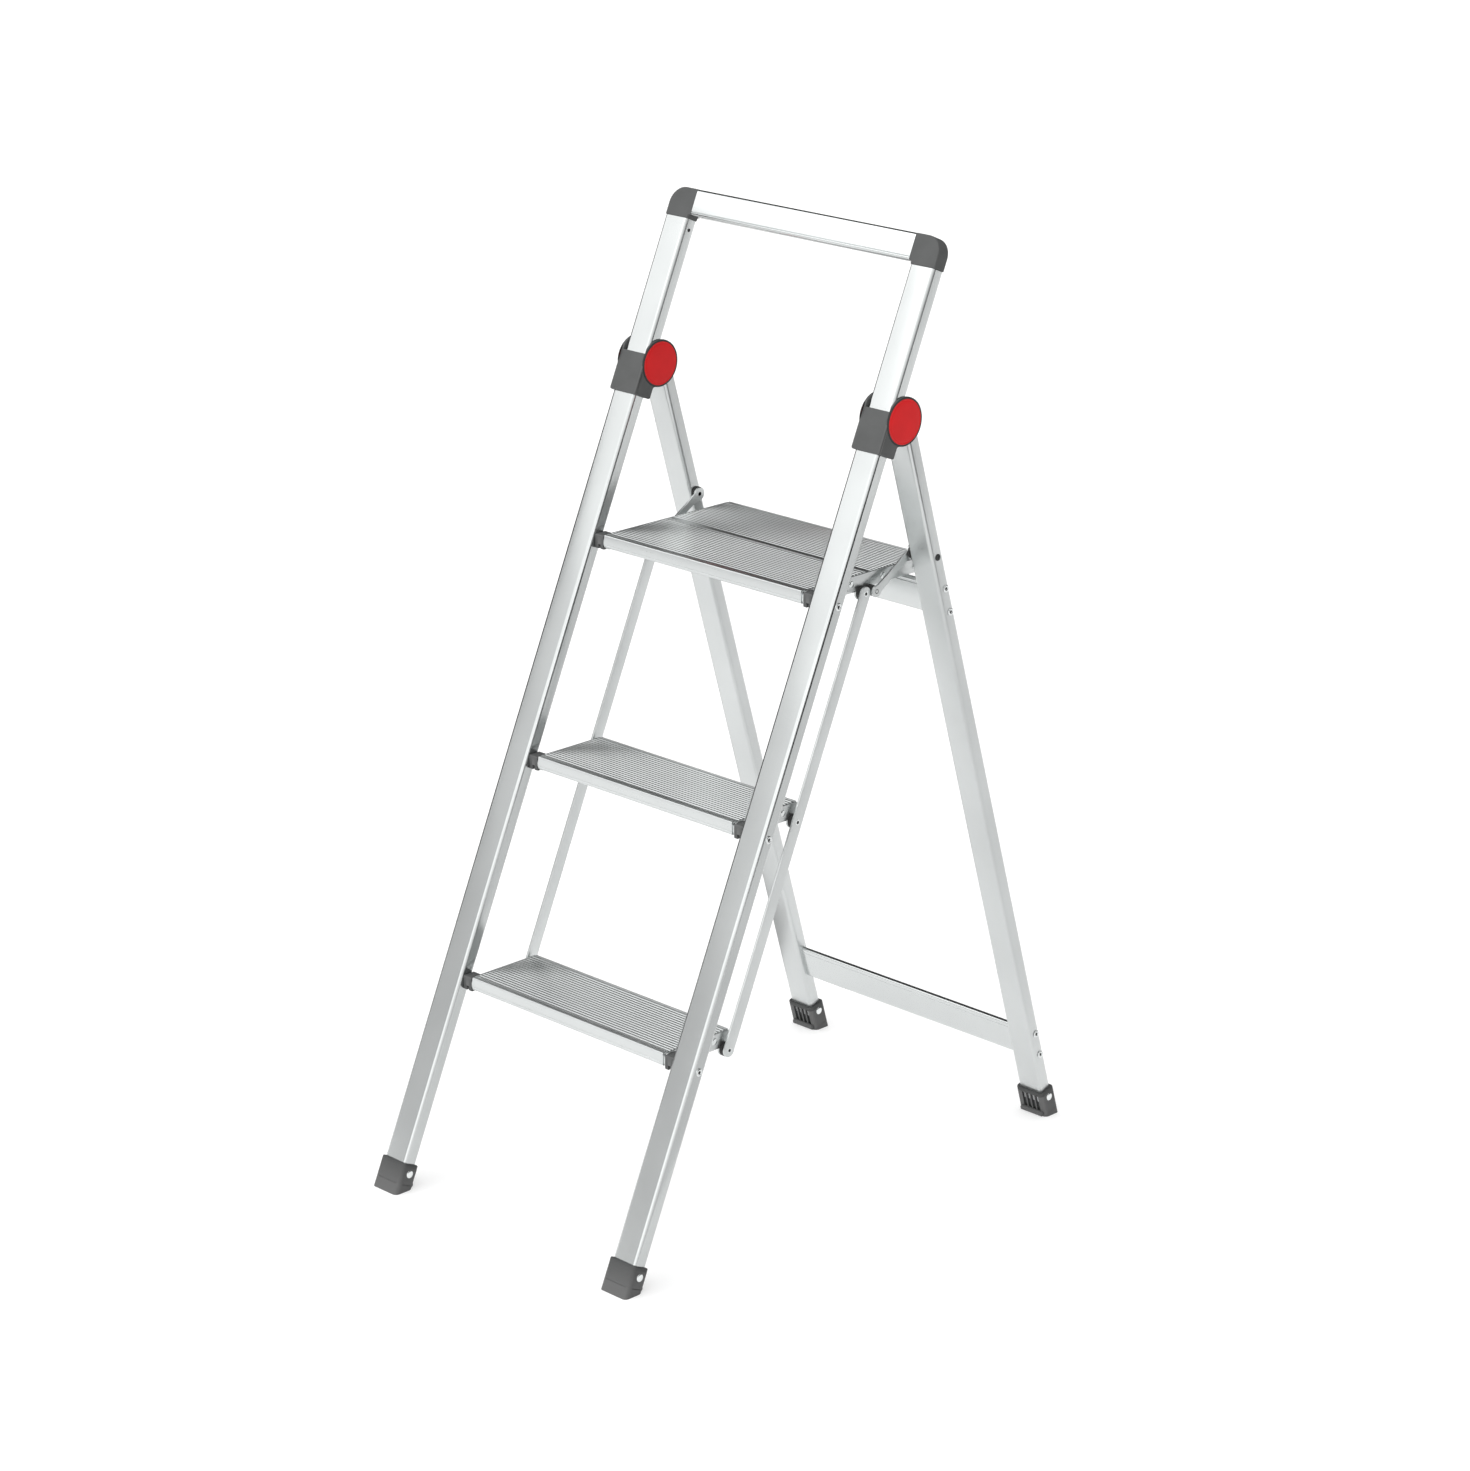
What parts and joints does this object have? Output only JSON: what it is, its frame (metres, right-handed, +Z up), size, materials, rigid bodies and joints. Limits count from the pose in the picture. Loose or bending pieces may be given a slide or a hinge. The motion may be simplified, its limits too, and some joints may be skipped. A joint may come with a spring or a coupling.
{
  "type": "step ladder",
  "caption": "Folding aluminium platform step ladder: front rails with a handle bar, rear legs on plastic hinges, treads and platform that fold flat on push rods.",
  "frame": {"origin": "centre of the footprint on the floor, ladder open", "axes": "+Z up, -Y is the side people climb, +X to the climber's right"},
  "size_m": [0.4146, 0.7004, 1.0695],
  "materials": {
    "frame_aluminium": "satin anodised extrusion",
    "tread_aluminium": "fine-ribbed mill-finish extrusion",
    "sheet_aluminium": "satin sheet",
    "zinc_steel": "bright zinc-plated strip",
    "rivet_metal": "plain rivet metal",
    "grey_plastic": "fine-textured moulding",
    "black_plastic": "moulded, matt",
    "red_plastic": "moulded, semi-gloss"
  },
  "bodies": {
    "front_frame": {"rail_left": "frame_aluminium", "rail_right": "frame_aluminium", "handle_bar": "frame_aluminium", "corner_left": "grey_plastic", "corner_right": "grey_plastic", "bracket_left": "grey_plastic", "bracket_right": "grey_plastic", "hinge_pins": "rivet_metal", "hinge_caps": "red_plastic", "foot_front_left": "grey_plastic", "foot_front_right": "grey_plastic", "foot_rivets_front": "rivet_metal", "tread_axles": "rivet_metal", "corner_rivets": "rivet_metal"},
    "rear_frame": {"leg_left": "frame_aluminium", "leg_right": "frame_aluminium", "knuckle_left": "grey_plastic", "knuckle_right": "grey_plastic", "crossbar_lower": "frame_aluminium", "crossbar_upper": "frame_aluminium", "crossbar_rivets": "rivet_metal", "arm_anchors": "rivet_metal", "foot_rear_left": "grey_plastic", "foot_rear_right": "grey_plastic", "foot_rivets_rear": "rivet_metal"},
    "platform": {"platform_front": "tread_aluminium", "platform_rear": "tread_aluminium", "platform_plate_left": "sheet_aluminium", "platform_plate_right": "sheet_aluminium", "platform_bushings": "grey_plastic", "platform_spacers": "black_plastic", "platform_pins": "rivet_metal", "platform_rivets": "rivet_metal"},
    "middle_step": {"tread_middle": "tread_aluminium", "middle_plate_left": "sheet_aluminium", "middle_plate_right": "sheet_aluminium", "middle_bushings": "grey_plastic", "middle_spacers": "black_plastic", "middle_pins": "rivet_metal", "middle_rivets": "rivet_metal"},
    "lower_step": {"tread_lower": "tread_aluminium", "lower_plate_left": "sheet_aluminium", "lower_plate_right": "sheet_aluminium", "lower_bushings": "grey_plastic", "lower_spacers": "black_plastic", "lower_pins": "rivet_metal", "lower_rivets": "rivet_metal"},
    "rod_left": {"rod_left": "zinc_steel"},
    "rod_right": {"rod_right": "zinc_steel"},
    "arm_left": {"arm_left": "sheet_aluminium", "arm_spacer_left": "black_plastic", "arm_rivet_left": "rivet_metal"},
    "arm_right": {"arm_right": "sheet_aluminium", "arm_spacer_right": "black_plastic", "arm_rivet_right": "rivet_metal"}
  },
  "joints": [
    {"name": "fold", "type": "hinge", "parent": "front_frame", "child": "rear_frame", "pos_m": [0, 0.0675, 0.881], "axis": [-1, 0, 0], "range_deg": [0, 40.3]},
    {"name": "platform_tilt", "type": "hinge", "parent": "front_frame", "child": "platform", "pos_m": [0, -0.02898, 0.6966], "axis": [1, 0, 0], "range_deg": [0, 66.1]},
    {"name": "middle_tilt", "type": "hinge", "parent": "front_frame", "child": "middle_step", "pos_m": [0, -0.13312, 0.4616], "axis": [1, 0, 0], "range_deg": [0, 66.1]},
    {"name": "lower_tilt", "type": "hinge", "parent": "front_frame", "child": "lower_step", "pos_m": [0, -0.23725, 0.2266], "axis": [1, 0, 0], "range_deg": [0, 66.1]},
    {"name": "rod_left_swing", "type": "hinge", "parent": "platform", "child": "rod_left", "pos_m": [0, 0.05692, 0.6842], "axis": [-1, 0, 0], "range_deg": [0, 66.1]},
    {"name": "rod_right_swing", "type": "hinge", "parent": "platform", "child": "rod_right", "pos_m": [0, 0.05692, 0.6842], "axis": [-1, 0, 0], "range_deg": [0, 66.1]},
    {"name": "arm_left_swing", "type": "hinge", "parent": "platform", "child": "arm_left", "pos_m": [0, 0.07102, 0.6846], "axis": [-1, 0, 0], "range_deg": [0, 200.83]},
    {"name": "arm_right_swing", "type": "hinge", "parent": "platform", "child": "arm_right", "pos_m": [0, 0.07102, 0.6846], "axis": [-1, 0, 0], "range_deg": [0, 200.83]}
  ],
  "couplings": [
    {"joint": "platform_tilt", "follows": "fold", "ratio": 1.6402},
    {"joint": "middle_tilt", "follows": "fold", "ratio": 1.6402},
    {"joint": "lower_tilt", "follows": "fold", "ratio": 1.6402},
    {"joint": "rod_left_swing", "follows": "fold", "ratio": 1.6402},
    {"joint": "rod_right_swing", "follows": "fold", "ratio": 1.6402},
    {"joint": "arm_left_swing", "follows": "fold", "ratio": 4.9833},
    {"joint": "arm_right_swing", "follows": "fold", "ratio": 4.9833}
  ]
}
